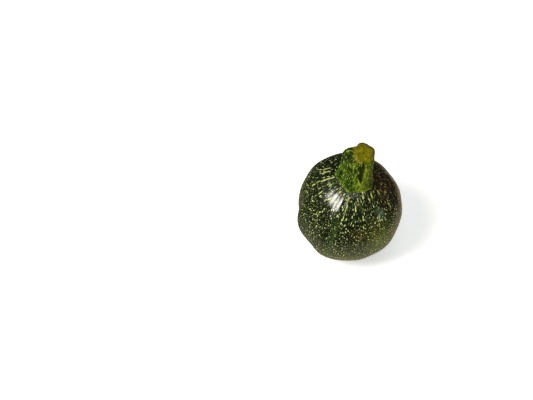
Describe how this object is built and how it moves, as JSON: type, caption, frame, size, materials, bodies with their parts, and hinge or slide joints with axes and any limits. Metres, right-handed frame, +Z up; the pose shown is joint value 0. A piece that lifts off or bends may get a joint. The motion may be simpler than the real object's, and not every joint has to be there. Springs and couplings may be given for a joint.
{
  "type": "round zucchini",
  "caption": "Round zucchini as picked: a globe-shaped green fruit with low ribs that stands on its blossom end, with the stub of its ridged, obliquely cut stem on top.",
  "frame": {"origin": "middle of the flat spot at the blossom end that the fruit rests on", "axes": "+Z up the fruit's axis from the blossom end to the stem, -Y towards the side that shows the stem's deep slit, +X to the right of that view"},
  "size_m": [0.0879, 0.0912, 0.1187],
  "materials": {
    "skin": "waxy dark green skin with pale yellow-green flecks",
    "stem": "fibrous green stem with a moist olive cut face"
  },
  "bodies": {
    "root": {"fruit": "skin", "stem": "stem"}
  },
  "joints": []
}
